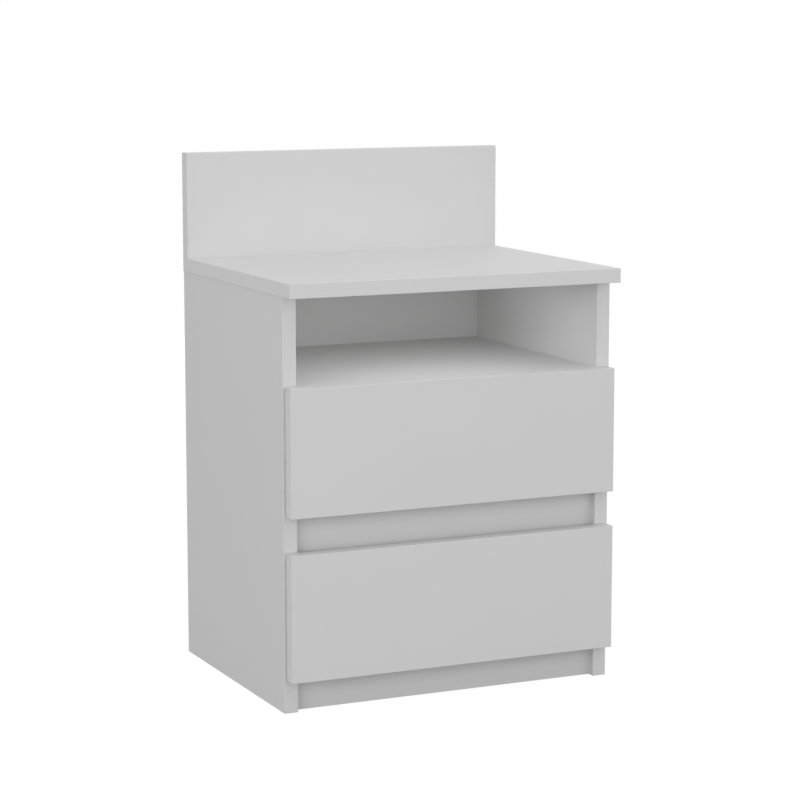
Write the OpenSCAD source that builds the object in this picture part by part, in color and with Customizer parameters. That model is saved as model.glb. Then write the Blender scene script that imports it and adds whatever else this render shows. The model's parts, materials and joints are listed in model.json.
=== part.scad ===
// Nightstand with a raised back edge, an open niche and two drawers on roller runners.
// Flat-pack construction: laminated chipboard, fibreboard back, cam locks and dowels.
// Millimetres. +Z up, the fronts face -Y, and the origin is on the floor at the middle
// of the whole outline.

/* [Overall size] */
// Width over the top board and the upstand
overall_w = 400; // [330:1:600]
// Depth from the front edge of the top board to the nail heads behind
overall_d = 330; // [270:1:500]
// Height from the floor to the upper edge of the upstand
overall_h = 594; // [530:1:800]
// Height from the floor to the table surface
table_h = 472; // [450:1:600]

/* [Boards] */
// Thickness of the laminated boards
board_t = 16; // [13:0.5:20]
// Thickness of the edge bands
band_t = 0.8; // [0.6:0.1:2]
// Radius of the long edges of the edge bands
band_r = 0.5; // [0.2:0.1:0.6]
// Thickness of the fibreboard in the back and the drawer bottoms
hdf_t = 3; // [2:0.5:5]
// Distance that the top board stands out in front of the side panels
top_overhang = 23; // [0:1:60]
// Distance from the front edges of the side panels back to the rail and the plinth
rail_recess = 10; // [4:1:20]
// Height that the middle rail reaches behind each drawer front
rail_lap = 10; // [4:1:14]
// Height that the plinth reaches behind the lower front
plinth_lap = 16; // [6:1:17]

/* [Back panel] */
// Distance from the outer faces of the side panels in to the back panel
back_inset = 2; // [0:0.5:5]
// Height of the back panel's lower edge above the floor
back_floor_gap = 6; // [2:1:15]
// Height that the back panel reaches up behind the upstand
back_lap = 20; // [20:1:40]
// Largest distance between two nails
nail_pitch = 90; // [60:5:140]

/* [Drawer fronts] */
// Height of each drawer front
front_h = 141; // [110:1:170]
// Distance from the outer faces of the side panels in to the ends of a front
front_inset = 2.2; // [0.5:0.1:6]
// Gap between a closed front and the front edges of the carcass
front_gap = 1.5; // [1:0.1:4]
// Height of the lower front above the floor
floor_gap = 37; // [24:1:60]
// Height of the gap for the fingers between the two fronts
finger_gap = 40; // [28:1:60]

/* [Drawer boxes] */
// Height of a drawer box above the lower edge of its front
box_rise = 22; // [20:1:26]
// Distance from the upper edge of a front down to the upper edge of its box
box_drop = 24; // [20:1:40]
// Thickness of the sides and the back of a drawer box
side_t = 12; // [11:0.5:14]
// Height of the groove for the drawer bottom above the lower edge of the sides
groove_rise = 8; // [6:1:14]
// Depth of that groove
groove_depth = 5; // [3:0.5:6]
// Play of the drawer bottom in its groove, above and below
groove_play = 0.1; // [0.05:0.05:0.2]

/* [Roller runners] */
// Step between the stock lengths of the runners
runner_step = 50; // [25:5:50]
// Free depth that a runner needs behind the drawer box
runner_rear_space = 10; // [5:1:40]
// Distance from the front edges of the side panels back to the cabinet members
runner_setback = 2; // [1:0.5:3]
// Space for a runner between the side panel and the drawer side
runner_gap = 12.5; // [12.5:0.1:16]
// Thickness of the pressed steel
sheet_t = 1.2; // [1:0.1:1.4]
// Diameter of the rollers at the rear of the drawers
rear_roller_d = 21; // [17:0.5:26]
// Gap between a roller and the flange that it runs on
roll_play = 0.1; // [0.05:0.05:0.2]
// Gap between a rear roller and the upper flange of its channel
ceiling_play = 0.5; // [0.4:0.1:1]
// Gap between the rolling flange and the upper flange of the channel
flange_play = 0.6; // [0.4:0.1:1]
// Gap between a front roller and the floor of its channel
floor_play = 0.7; // [0.4:0.1:1]
// Length of a runner that stays in its channel when the drawer is fully out
runner_hold = 60; // [55:1:90]
// Diameter of the rivets that carry the rollers
rivet_d = 5; // [4:0.1:5.5]
// Gap all round between a rivet and the bore of its roller
bore_play = 0.08; // [0.05:0.01:0.1]

/* [Fasteners] */
// Diameter of the cam locks in the thick boards
cam_d = 15; // [13:0.5:16]
// Distance from the end of a thick board to its cam lock
cam_reach = 34; // [24:1:40]
// Diameter of the cam locks in the drawer sides
small_cam_d = 12; // [11:0.5:12]
// Distance from the front end of a drawer side to its cam lock
small_cam_reach = 24; // [18:1:30]
// Diameter of the dowels in the thick boards
dowel_d = 8; // [6:0.5:8]
// Diameter of the dowels in the drawer sides
small_dowel_d = 6; // [4:0.5:6]
// Depth that a dowel or a bolt enters the face of a board
face_depth = 10.5; // [8:0.5:11]
// Thickness of the nail heads
nail_head_t = 1; // [0.8:0.1:1.5]
// Gap all round between a fastener and its hole
hole_play = 0.1; // [0.05:0.05:0.2]
// Length of each leg of the corner blocks under the top board
block_leg = 18; // [16:1:24]

/* [Hidden] */
$fn = 48;

// Planes of the carcass
half_w = overall_w / 2;
core_half = half_w - band_t;
inner_half = core_half - board_t;
y_edge = -overall_d / 2;
y_front = y_edge + top_overhang;
y_back = overall_d / 2 - nail_head_t - hdf_t;
carcass_d = y_back - y_front;
side_h = table_h - board_t;
upstand_y = y_back - board_t;

// Heights that follow from the stack of fronts
lower_z = floor_gap;
upper_z = lower_z + front_h + finger_gap;
shelf_z = upper_z + front_h - board_t;
rail_z = lower_z + front_h - rail_lap;
rail_h = finger_gap + 2 * rail_lap;
plinth_h = floor_gap + plinth_lap;
rail_y = y_front + rail_recess;
inner_w = 2 * inner_half;

// Drawer box, seen from the lower edge of its front
front_half = core_half - front_inset;
front_y = y_front - front_gap - board_t;
box_half = inner_half - runner_gap;
box_h = front_h - box_rise - box_drop;
box_y = y_front - front_gap;
box_inner_half = box_half - side_t;
groove_z = box_rise + groove_rise;
groove_h = hdf_t + 2 * groove_play;
runner_room = carcass_d - board_t - runner_rear_space;
runner_l = runner_step * floor(runner_room / runner_step);
travel = runner_l - runner_hold;

// Runner section: x from the side panel towards the drawer, z from the channel floor
rear_r = rear_roller_d / 2;
rear_axle_z = rear_r + roll_play;
ceiling_z = rear_roller_d + roll_play + ceiling_play;
flange_top = ceiling_z - flange_play;
flange_under = flange_top - sheet_t;
front_r = (flange_under - roll_play - floor_play) / 2;
front_axle_z = floor_play + front_r;
web_x = runner_gap - sheet_t;
lip_h = 3;
lip_gap = 0.7;
lip_x = web_x - lip_gap;
lug_reach = 5;
lug_drop = 4;
lug_l = 2;
flange_edge = lug_reach + 0.4;
screw_head_h = 0.9;
screw_head_d = 7;
rivet_head_h = 0.8;
rivet_head_d = 8;
axle_play = 0.3;
head_gap = 1.5;
rear_body_x = sheet_t + screw_head_h + rivet_head_h + 2 * axle_play;
rear_body_w = lip_x - sheet_t - axle_play - rear_body_x;
front_body_x = 2 * sheet_t;
front_body_w = web_x - head_gap - rivet_head_h - axle_play - front_body_x;
hub_d = 9;
front_lead = 3.5;
rear_lead = 1.5;
stop_gap = 0.5;
front_axle_y = runner_setback + front_r + front_lead;
rear_axle_y = runner_l - front_gap - rear_r - rear_lead;
stop_y = rear_axle_y + rear_r + stop_gap;
lug_dz = ceiling_z - lug_drop - rear_axle_z;
lug_y = rear_axle_y - travel - sqrt(pow(rear_r, 2) - pow(lug_dz, 2)) - stop_gap - lug_l;
mouth_l = 4;
web_hole_z = ceiling_z / 2;
slot_w = 4.5;
slot_l = 12;
slot_step = 22;
first_screw_y = 37;
screw_step_y = 96;
screw_end = 20;
screw_ys = [for (y = [first_screw_y:screw_step_y:runner_l - screw_end]) y];
flange_screw_end = 30;
flange_screw_step = (runner_l - 2 * flange_screw_end) / 2;
flange_screw_ys = [for (i = [0:2]) flange_screw_end + i * flange_screw_step];

// Fastener sizes
bolt_d = 5;
bolt_head_d = 7;
bolt_thread_d = 7;
small_bolt_d = 4;
small_bolt_head_d = 5.5;
small_bolt_thread_d = 5;
dowel_l = 30;
small_dowel_l = 25;
runner_screw_d = 6;
runner_screw_l = 11;
wood_screw_d = 3.5;
block_screw_l = 12;
flange_screw_l = 14;
end_gap = 0.5;
back_screw_d = 4;
back_screw_l = 36;
back_screw_head_d = 7.6;
nail_d = 1.6;
nail_l = hdf_t + board_t - 2;
nail_head_d = 4.5;
bottom_nail_l = 20;
block_w = 22;
block_wall = 2.5;
block_gusset = 2;
block_screw_head_h = 1.8;

// Gap between two edge bands that meet at a corner
band_gap = 0.1;

// How far a piece runs into the next one that it is joined with, and a cut past a face
eps = 0.01;
cut = 1;

// Places of the fasteners
shelf_mid_z = shelf_z + board_t / 2;
near_edge = 45;
far_edge = 80;
pair_step = 12;
shelf_cam_ys = [y_front + near_edge, y_back - far_edge];
shelf_dowel_ys = [y_front + far_edge, y_back - near_edge];
rail_mid_y = rail_y + board_t / 2;
stretcher_mid_y = y_back - board_t / 2;
rail_cam_z = rail_z + rail_h / 2 + pair_step;
rail_dowel_z = rail_z + rail_h / 2 - pair_step;
plinth_cam_z = plinth_h / 2 + pair_step;
plinth_dowel_z = plinth_h / 2 - pair_step;
side_mid_x = core_half - board_t / 2;
top_dowel_ys = [y_front + near_edge, upstand_y - near_edge];
upstand_cam_xs = [-inner_half + near_edge, inner_half - near_edge];
upstand_dowel_x = inner_half / 2;
block_end = 25;
block_ys = [y_front + carcass_d / 2, upstand_y - block_end];
top_mid_z = side_h + board_t / 2;
box_cam_z = box_rise + box_h / 2;
box_joint_low = 12;
box_joint_high = 17;
box_joint_zs = [groove_z + groove_h + box_joint_low, box_rise + box_h - box_joint_high];
box_side_mid_x = box_half - side_t / 2;
flange_screw_x = box_half - (side_t - groove_depth) / 2;
box_back_y = box_y + runner_l - side_t;
back_top_z = side_h + back_lap;
nail_edge = 5;
nail_inset = 40;

// Centres of n nails spread evenly from a to b
function spread(a, b) =
    let (n = ceil((b - a) / nail_pitch)) [for (i = [0:n]) a + (b - a) * i / n];

// ---------- helpers ----------

// The same on the left and, mirrored, on the right
module both_sides() {
    children();
    mirror([1, 0, 0]) children();
}

// A box from its lowest corner to its highest
module block(low, high) {
    translate(low) cube(high - low);
}

// A cylinder that starts at p and runs along +X, +Y or +Z
module rod_x(p, d, l) {
    translate(p) rotate([0, 90, 0]) cylinder(d = d, h = l);
}

module rod_y(p, d, l) {
    translate(p) rotate([-90, 0, 0]) cylinder(d = d, h = l);
}

module rod_z(p, d, l) {
    translate(p) cylinder(d = d, h = l);
}

// Edge band: its length runs along +X and its outer face looks to -Y.
// The two long outer edges are rounded.
module band_strip(l, w) {
    rotate([90, 0, 90]) linear_extrude(l) {
        translate([band_r, 0]) square([band_t - band_r, w]);
        translate([0, band_r]) square([band_r + eps, w - 2 * band_r]);
        intersection() {
            union() {
                translate([band_r, band_r]) circle(r = band_r);
                translate([band_r, w - band_r]) circle(r = band_r);
            }
            square([band_r + eps, w]);
        }
    }
}

// The same band with its outer face looking to -X and its length along +Z
module band_upright(l, w) {
    rotate([-90, -90, 0]) band_strip(l, w);
}

// The same band with its outer face looking up and its length along +X
module band_above(l, w) {
    rotate([-90, 0, 0]) band_strip(l, w);
}

// Outline of bent sheet steel along a path of right angles, with round bends and ends
module bent_sheet(path, t) {
    for (i = [0:len(path) - 2]) {
        a = path[i];
        b = path[i + 1];
        level = a.y == b.y;
        size = level ? [abs(b.x - a.x), t] : [t, abs(b.y - a.y)];
        shift = level ? [0, -t / 2] : [-t / 2, 0];
        translate([min(a.x, b.x), min(a.y, b.y)] + shift) square(size);
    }
    for (p = path) translate(p) circle(d = t);
}

// Extrudes an outline drawn in X and Z along +Y
module along_y(l) {
    translate([0, l, 0]) rotate([90, 0, 0]) linear_extrude(l) children();
}

// ---------- fasteners ----------

// A cam joint has its origin at the centre of the cam's face. The face looks along +Z
// and the bolt comes from -X at the depth of the board's middle.
function cam_depth(d, mid) = mid + 0.3 * d;

// Cross for the screwdriver, sunk into a face at z = 0
module cross_slot(l, w, depth) {
    for (a = [0, 90]) rotate(a) translate([-l / 2, -w / 2, -depth]) cube([l, w, depth + cut]);
}

module cam_lock(d, mid) {
    depth = cam_depth(d, mid);
    chamber_d = 0.62 * d;
    chamber_h = 0.85 * chamber_d;
    cross_l = 0.55 * d;
    cross_w = 1.4;
    cross_depth = 1.6;
    difference() {
        translate([0, 0, -depth]) cylinder(d = d, h = depth);
        rod_x([-d, 0, -mid], chamber_h, d);
        translate([0, 0, -mid - chamber_h / 2]) cylinder(d = chamber_d, h = chamber_h);
        cross_slot(cross_l, cross_w, cross_depth);
    }
}

module cam_bolt(mid, reach, d, head_d, thread_d) {
    tip = -reach - face_depth + end_gap;
    translate([0, 0, -mid]) rotate([0, 90, 0]) rotate_extrude() polygon([
        [0, tip], [thread_d / 2, tip], [thread_d / 2, -reach], [d / 2, -reach],
        [d / 2, -head_d / 2], [head_d / 2, -head_d / 6], [head_d / 2, head_d / 6], [0, head_d / 6]
    ]);
}

module cam_holes(d, mid, reach, head_d, thread_d) {
    depth = cam_depth(d, mid) + hole_play;
    shank_play = 1;
    translate([0, 0, -depth]) cylinder(d = d + 2 * hole_play, h = depth + cut);
    rod_x([-reach - eps, 0, -mid], head_d + shank_play, reach);
    rod_x([-reach - face_depth, 0, -mid], thread_d + 2 * hole_play, face_depth + eps);
}

// A dowel across a joint: face_depth deep in the face at -X, the rest at +X
module dowel(d, l) {
    tip = d / 8;
    start = -face_depth + end_gap;
    translate([start, 0, 0]) rotate([0, 90, 0]) {
        cylinder(d1 = d - 2 * tip, d2 = d, h = tip);
        translate([0, 0, tip]) cylinder(d = d, h = l - 2 * tip);
        translate([0, 0, l - tip]) cylinder(d1 = d, d2 = d - 2 * tip, h = tip);
    }
}

module dowel_hole(d, l) {
    rod_x([-face_depth, 0, 0], d + 2 * hole_play, l + 2 * end_gap);
}

// A screw with a flat round head: the head lies on z = 0 and the shank runs to -Z
module pan_screw(d, l, head_d, head_h) {
    cross_w = 0.8;
    translate([0, 0, -l]) cylinder(d = d, h = l);
    difference() {
        cylinder(d1 = head_d, d2 = head_d - head_h, h = head_h);
        translate([0, 0, head_h]) cross_slot(head_d / 2, cross_w, head_h / 2);
    }
}

// Hole for a screw or nail whose shank runs l down from z = 0
module shank_hole(d, l) {
    rod_z([0, 0, -l - end_gap], d + 2 * hole_play, l + end_gap + cut);
}

// A screw whose countersunk head ends flush with z = 0
module flush_screw(d, l, head_d) {
    sink = (head_d - d) / 2;
    cross_w = 1;
    cross_depth = 1.2;
    difference() {
        union() {
            translate([0, 0, -l]) cylinder(d = d, h = l - sink + eps);
            translate([0, 0, -sink]) cylinder(d1 = d, d2 = head_d, h = sink);
        }
        cross_slot(head_d / 2, cross_w, cross_depth);
    }
}

module flush_screw_hole(d, l, head_d) {
    sink = (head_d - d) / 2;
    play = 2 * hole_play;
    shank_hole(d, l);
    translate([0, 0, -sink]) cylinder(d1 = d + play, d2 = head_d + play, h = sink);
    cylinder(d = head_d + play, h = cut);
}

// ---------- places in the carcass ----------

module shelf_cam_places() {
    both_sides() for (y = shelf_cam_ys)
        translate([-inner_half + cam_reach, y, shelf_z]) rotate([180, 0, 0]) children();
}

module rail_cam_places() {
    both_sides() translate([-inner_half + cam_reach, rail_y + board_t, rail_cam_z])
        rotate([-90, 0, 0]) children();
}

module plinth_cam_places() {
    both_sides() translate([-inner_half + cam_reach, rail_y + board_t, plinth_cam_z])
        rotate([-90, 0, 0]) children();
}

module stretcher_cam_places() {
    both_sides() translate([-inner_half + cam_reach, upstand_y, plinth_cam_z])
        rotate([90, 0, 0]) children();
}

module upstand_cam_places() {
    for (x = upstand_cam_xs)
        translate([x, upstand_y - cam_reach, side_h]) rotate([180, 0, -90]) children();
}

module shelf_dowel_places() {
    both_sides() for (y = shelf_dowel_ys) translate([-inner_half, y, shelf_mid_z]) children();
}

module rail_dowel_places() {
    both_sides() translate([-inner_half, rail_mid_y, rail_dowel_z]) children();
}

module plinth_dowel_places() {
    both_sides() translate([-inner_half, rail_mid_y, plinth_dowel_z]) children();
}

module stretcher_dowel_places() {
    both_sides() translate([-inner_half, stretcher_mid_y, plinth_dowel_z]) children();
}

module top_dowel_places() {
    both_sides() for (y = top_dowel_ys)
        translate([-side_mid_x, y, side_h]) rotate([0, 90, 0]) children();
}

module upstand_foot_dowel_places() {
    both_sides() translate([-side_mid_x, stretcher_mid_y, side_h]) rotate([0, 90, 0]) children();
}

module upstand_dowel_places() {
    both_sides() translate([-upstand_dowel_x, upstand_y, top_mid_z]) rotate([0, 0, -90]) children();
}

module block_places() {
    both_sides() for (y = block_ys) translate([-inner_half, y, side_h]) children();
}

// Nails in the back panel, with their heads behind it
module side_nail_places() {
    both_sides() for (z = spread(plinth_h / 2, side_h - dowel_l - nail_edge))
        translate([-side_mid_x, y_back + hdf_t, z]) rotate([-90, 0, 0]) children();
}

module inner_nail_places(z) {
    for (x = spread(-inner_half + nail_inset, inner_half - nail_inset))
        translate([x, y_back + hdf_t, z]) rotate([-90, 0, 0]) children();
}

module cabinet_runner_places(z) {
    translate([-inner_half, y_front, z + box_rise]) children();
}

module cabinet_screw_places() {
    both_sides() for (z = [lower_z, upper_z]) cabinet_runner_places(z)
        for (y = screw_ys) translate([sheet_t, y, web_hole_z]) rotate([0, 90, 0]) children();
}

module thick_cam_holes() {
    cam_holes(cam_d, board_t / 2, cam_reach, bolt_head_d, bolt_thread_d);
}

module thick_dowel_hole() {
    dowel_hole(dowel_d, dowel_l);
}

module nail_hole() {
    shank_hole(nail_d, nail_l);
}

module block_screw_places() {
    mid = block_leg / 2 + block_wall / 2;
    translate([block_wall, 0, -mid]) rotate([0, 90, 0]) children();
    translate([mid, 0, -block_wall]) rotate([180, 0, 0]) children();
}

module block_screw_hole() {
    shank_hole(wood_screw_d, block_screw_l);
}

// ---------- carcass ----------

module side_panel() {
    color("whitesmoke") difference() {
        block([-core_half, y_front + band_t, 0], [-inner_half, y_back, side_h]);
        shelf_cam_places() thick_cam_holes();
        rail_cam_places() thick_cam_holes();
        plinth_cam_places() thick_cam_holes();
        stretcher_cam_places() thick_cam_holes();
        shelf_dowel_places() thick_dowel_hole();
        rail_dowel_places() thick_dowel_hole();
        plinth_dowel_places() thick_dowel_hole();
        stretcher_dowel_places() thick_dowel_hole();
        top_dowel_places() thick_dowel_hole();
        upstand_foot_dowel_places() thick_dowel_hole();
        side_nail_places() nail_hole();
        block_places() block_screw_places() block_screw_hole();
        cabinet_screw_places() shank_hole(runner_screw_d, runner_screw_l);
    }
}

module left_side_panel() {
    side_panel();
}

module right_side_panel() {
    mirror([1, 0, 0]) side_panel();
}

module top_board() {
    color("whitesmoke") difference() {
        block([-core_half, y_edge + band_t, side_h], [core_half, upstand_y, table_h]);
        upstand_cam_places() thick_cam_holes();
        top_dowel_places() thick_dowel_hole();
        upstand_dowel_places() thick_dowel_hole();
        block_places() block_screw_places() block_screw_hole();
    }
}

module upstand_board() {
    color("whitesmoke") difference() {
        block([-core_half, upstand_y, side_h], [core_half, y_back, overall_h - band_t]);
        upstand_cam_places() thick_cam_holes();
        upstand_dowel_places() thick_dowel_hole();
        upstand_foot_dowel_places() thick_dowel_hole();
        inner_nail_places(back_top_z - nail_edge) nail_hole();
    }
}

module niche_shelf() {
    color("whitesmoke") difference() {
        block([-inner_half, y_front + band_t, shelf_z], [inner_half, y_back, shelf_z + board_t]);
        shelf_cam_places() thick_cam_holes();
        shelf_dowel_places() thick_dowel_hole();
        inner_nail_places(shelf_mid_z) nail_hole();
    }
}

module middle_rail() {
    color("whitesmoke") difference() {
        block([-inner_half, rail_y, rail_z], [inner_half, rail_y + board_t, rail_z + rail_h]);
        rail_cam_places() thick_cam_holes();
        rail_dowel_places() thick_dowel_hole();
    }
}

module plinth_board() {
    color("whitesmoke") difference() {
        block([-inner_half, rail_y, 0], [inner_half, rail_y + board_t, plinth_h]);
        plinth_cam_places() thick_cam_holes();
        plinth_dowel_places() thick_dowel_hole();
    }
}

module rear_stretcher() {
    color("whitesmoke") difference() {
        block([-inner_half, upstand_y, 0], [inner_half, y_back, plinth_h]);
        stretcher_cam_places() thick_cam_holes();
        stretcher_dowel_places() thick_dowel_hole();
        inner_nail_places(plinth_h / 2) nail_hole();
    }
}

module back_panel() {
    half = core_half - back_inset;
    color("gainsboro") difference() {
        block([-half, y_back, back_floor_gap], [half, y_back + hdf_t, back_top_z]);
        side_nail_places() nail_hole();
        inner_nail_places(back_top_z - nail_edge) nail_hole();
        inner_nail_places(shelf_mid_z) nail_hole();
        inner_nail_places(plinth_h / 2) nail_hole();
    }
}

module carcass_edge_bands() {
    color("white") {
        translate([-half_w, y_edge, side_h]) band_strip(overall_w, board_t);
        both_sides() translate([-half_w, upstand_y - band_gap, side_h]) rotate([0, 0, -90])
            band_strip(upstand_y - y_edge - band_t - 2 * band_gap, board_t);
        both_sides() translate([-half_w, upstand_y, side_h])
            band_upright(overall_h - band_t - band_gap - side_h, board_t);
        translate([-half_w, upstand_y, overall_h]) band_above(overall_w, board_t);
        both_sides() translate([-inner_half, y_front, 0]) rotate([0, -90, 0])
            band_strip(side_h, board_t);
        translate([-inner_half + band_gap, y_front, shelf_z])
            band_strip(inner_w - 2 * band_gap, board_t);
    }
}

module carcass_cam_locks() {
    color("silver") {
        shelf_cam_places() cam_lock(cam_d, board_t / 2);
        rail_cam_places() cam_lock(cam_d, board_t / 2);
        plinth_cam_places() cam_lock(cam_d, board_t / 2);
        stretcher_cam_places() cam_lock(cam_d, board_t / 2);
        upstand_cam_places() cam_lock(cam_d, board_t / 2);
    }
}

module thick_cam_bolt() {
    cam_bolt(board_t / 2, cam_reach, bolt_d, bolt_head_d, bolt_thread_d);
}

module carcass_cam_bolts() {
    color("gray") {
        shelf_cam_places() thick_cam_bolt();
        rail_cam_places() thick_cam_bolt();
        plinth_cam_places() thick_cam_bolt();
        stretcher_cam_places() thick_cam_bolt();
        upstand_cam_places() thick_cam_bolt();
    }
}

module carcass_dowels() {
    color("burlywood") {
        shelf_dowel_places() dowel(dowel_d, dowel_l);
        rail_dowel_places() dowel(dowel_d, dowel_l);
        plinth_dowel_places() dowel(dowel_d, dowel_l);
        stretcher_dowel_places() dowel(dowel_d, dowel_l);
        top_dowel_places() dowel(dowel_d, dowel_l);
        upstand_foot_dowel_places() dowel(dowel_d, dowel_l);
        upstand_dowel_places() dowel(dowel_d, dowel_l);
    }
}

// Moulded block: two legs with a screw hole each, and a gusset at both ends
module corner_block() {
    difference() {
        union() {
            block([0, -block_w / 2, -block_leg], [block_wall, block_w / 2, 0]);
            block([0, -block_w / 2, -block_wall], [block_leg, block_w / 2, 0]);
            for (y = [-block_w / 2, block_w / 2 - block_gusset])
                translate([0, y, 0]) along_y(block_gusset)
                    polygon([[0, 0], [block_leg, 0], [block_leg, -block_wall],
                             [block_wall, -block_leg], [0, -block_leg]]);
        }
        block_screw_places() block_screw_hole();
    }
}

module corner_blocks() {
    color("white") block_places() corner_block();
}

module corner_block_screws() {
    color("silver") block_places() block_screw_places()
        pan_screw(wood_screw_d, block_screw_l, screw_head_d, block_screw_head_h);
}

// A nail whose head lies on z = 0 and whose shank runs to -Z
module nail(l) {
    rod_z([0, 0, -l], nail_d, l + eps);
    rod_z([0, 0, 0], nail_head_d, nail_head_t);
}

module back_panel_nails() {
    color("silver") {
        side_nail_places() nail(nail_l);
        inner_nail_places(back_top_z - nail_edge) nail(nail_l);
        inner_nail_places(shelf_mid_z) nail(nail_l);
        inner_nail_places(plinth_h / 2) nail(nail_l);
    }
}

// ---------- runners ----------

// Long hole through an upright web that starts at p, centred on p
module web_slot(p) {
    through = sheet_t + 2 * cut;
    half = (slot_l - slot_w) / 2;
    for (side = [-1, 1]) rod_x(p + [-cut, side * half, 0], slot_w, through);
    translate(p - [cut, half, slot_w / 2]) cube([through, 2 * half, slot_w]);
}

// Round hole through the same web
module web_hole(p, d) {
    rod_x(p - [cut, 0, 0], d + 2 * hole_play, sheet_t + 2 * cut);
}

// Channel on the left side panel, with the front roller's hole, the stop that holds the
// rear roller when the drawer is out, and the tab that stops it when the drawer is in
module cabinet_runner() {
    half_t = sheet_t / 2;
    path = [
        [lip_x - half_t, lip_h - half_t], [lip_x - half_t, -half_t], [half_t, -half_t],
        [half_t, ceiling_z + half_t], [lip_x - sheet_t, ceiling_z + half_t]
    ];
    color("ivory") {
        difference() {
            translate([0, runner_setback, 0]) along_y(runner_l) bent_sheet(path, sheet_t);
            block([sheet_t, 0, ceiling_z - eps], [runner_gap, lug_y, ceiling_z + 2 * sheet_t]);
            block([sheet_t, 0, 0], [runner_gap, runner_setback + mouth_l, lip_h + cut]);
            web_hole([0, front_axle_y, front_axle_z], rivet_d);
            for (y = screw_ys) web_hole([0, y, web_hole_z], runner_screw_d);
            for (y = screw_ys) web_slot([0, y + slot_step, web_hole_z]);
        }
        block([half_t, lug_y, ceiling_z - lug_drop], [lug_reach, lug_y + lug_l, ceiling_z + half_t]);
        block([half_t, stop_y, -half_t], [lip_x - half_t, stop_y + sheet_t, rear_axle_z]);
    }
}

module upper_left_cabinet_runner() {
    cabinet_runner_places(upper_z) cabinet_runner();
}

module upper_right_cabinet_runner() {
    mirror([1, 0, 0]) upper_left_cabinet_runner();
}

module lower_left_cabinet_runner() {
    cabinet_runner_places(lower_z) cabinet_runner();
}

module lower_right_cabinet_runner() {
    mirror([1, 0, 0]) lower_left_cabinet_runner();
}

module cabinet_runner_screws() {
    color("silver") cabinet_screw_places()
        pan_screw(runner_screw_d, runner_screw_l, screw_head_d, screw_head_h);
}

// Nylon wheel on the X axis: a tread with round edges, a dished face and a hub.
// The tread runs from x to x + w, and the hub from hub_x to the tread.
module roller(r, x, w, hub_x) {
    edge_r = 0.8;
    dish = 1;
    rim = 2;
    bore_r = rivet_d / 2 + bore_play;
    low = min(x, hub_x);
    high = max(x + w, hub_x);
    color("white") rotate([0, 90, 0]) difference() {
        rotate_extrude() {
            translate([bore_r, x]) square([r - edge_r - bore_r, w]);
            translate([bore_r, x + edge_r]) square([r - bore_r, w - 2 * edge_r]);
            for (y = [x + edge_r, x + w - edge_r])
                translate([r - edge_r, y]) circle(r = edge_r);
            translate([bore_r, low]) square([hub_d / 2 - bore_r, high - low]);
        }
        for (z = [x - cut, x + w - dish])
            translate([0, 0, z]) difference() {
                cylinder(r = r - rim, h = dish + cut);
                translate([0, 0, -cut]) cylinder(d = hub_d, h = dish + 3 * cut);
            }
    }
}

// Rivet on the X axis: its shank runs from a to b and its head stands on b,
// on the side that dir gives
module rivet(a, b, dir) {
    start = min(a, b);
    rod_x([start, 0, 0], rivet_d, abs(b - a));
    translate([b, 0, 0]) rotate([0, 90 * dir, 0])
        cylinder(d1 = rivet_head_d, d2 = rivet_head_d - rivet_head_h, h = rivet_head_h);
}

module front_roller_place(z) {
    cabinet_runner_places(z) translate([0, front_axle_y, front_axle_z]) children();
}

module rear_roller_place(z) {
    cabinet_runner_places(z) translate([0, rear_axle_y, rear_axle_z]) children();
}

module front_roller() {
    roller(front_r, front_body_x, front_body_w, sheet_t + axle_play);
}

module rear_roller() {
    roller(rear_r, rear_body_x, rear_body_w, web_x - axle_play);
}

module front_roller_rivets() {
    color("silver") both_sides() for (z = [lower_z, upper_z]) front_roller_place(z)
        rivet(0, front_body_x + front_body_w + axle_play, 1);
}

module upper_left_front_roller() {
    front_roller_place(upper_z) front_roller();
}

module upper_right_front_roller() {
    mirror([1, 0, 0]) upper_left_front_roller();
}

module lower_left_front_roller() {
    front_roller_place(lower_z) front_roller();
}

module lower_right_front_roller() {
    mirror([1, 0, 0]) lower_left_front_roller();
}

module upper_left_rear_roller() {
    rear_roller_place(upper_z) rear_roller();
}

module upper_right_rear_roller() {
    mirror([1, 0, 0]) upper_left_rear_roller();
}

module lower_left_rear_roller() {
    rear_roller_place(lower_z) rear_roller();
}

module lower_right_rear_roller() {
    mirror([1, 0, 0]) lower_left_rear_roller();
}

// ---------- drawers, drawn with the lower edge of the front at z ----------

module box_cam_places(z) {
    both_sides() translate([-box_inner_half, box_y + small_cam_reach, z + box_cam_z])
        rotate([90, 0, 90]) children();
}

module box_dowel_places(z) {
    both_sides() for (h = box_joint_zs)
        translate([-box_side_mid_x, box_y, z + h]) rotate([0, 0, 90]) children();
}

module box_back_screw_places(z) {
    both_sides() for (h = box_joint_zs)
        translate([-box_half, box_back_y + side_t / 2, z + h]) rotate([0, -90, 0]) children();
}

module box_flange_screw_places(z) {
    both_sides() for (y = flange_screw_ys)
        translate([-flange_screw_x, box_y + y, z + box_rise - sheet_t])
            rotate([180, 0, 0]) children();
}

module box_cam_holes() {
    cam_holes(small_cam_d, side_t / 2, small_cam_reach, small_bolt_head_d, small_bolt_thread_d);
}

module box_bottom_nail_places(z) {
    for (x = spread(-box_inner_half + nail_inset, box_inner_half - nail_inset))
        translate([x, box_back_y + side_t / 2, z + groove_z + groove_play])
            rotate([180, 0, 0]) children();
}

module flange_screw_hole() {
    shank_hole(wood_screw_d, flange_screw_l);
}

module groove_cut(z) {
    half = box_inner_half + groove_depth;
    block([-half, box_y - groove_depth, z + groove_z],
          [half, box_y + runner_l + cut, z + groove_z + groove_h]);
}

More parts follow.
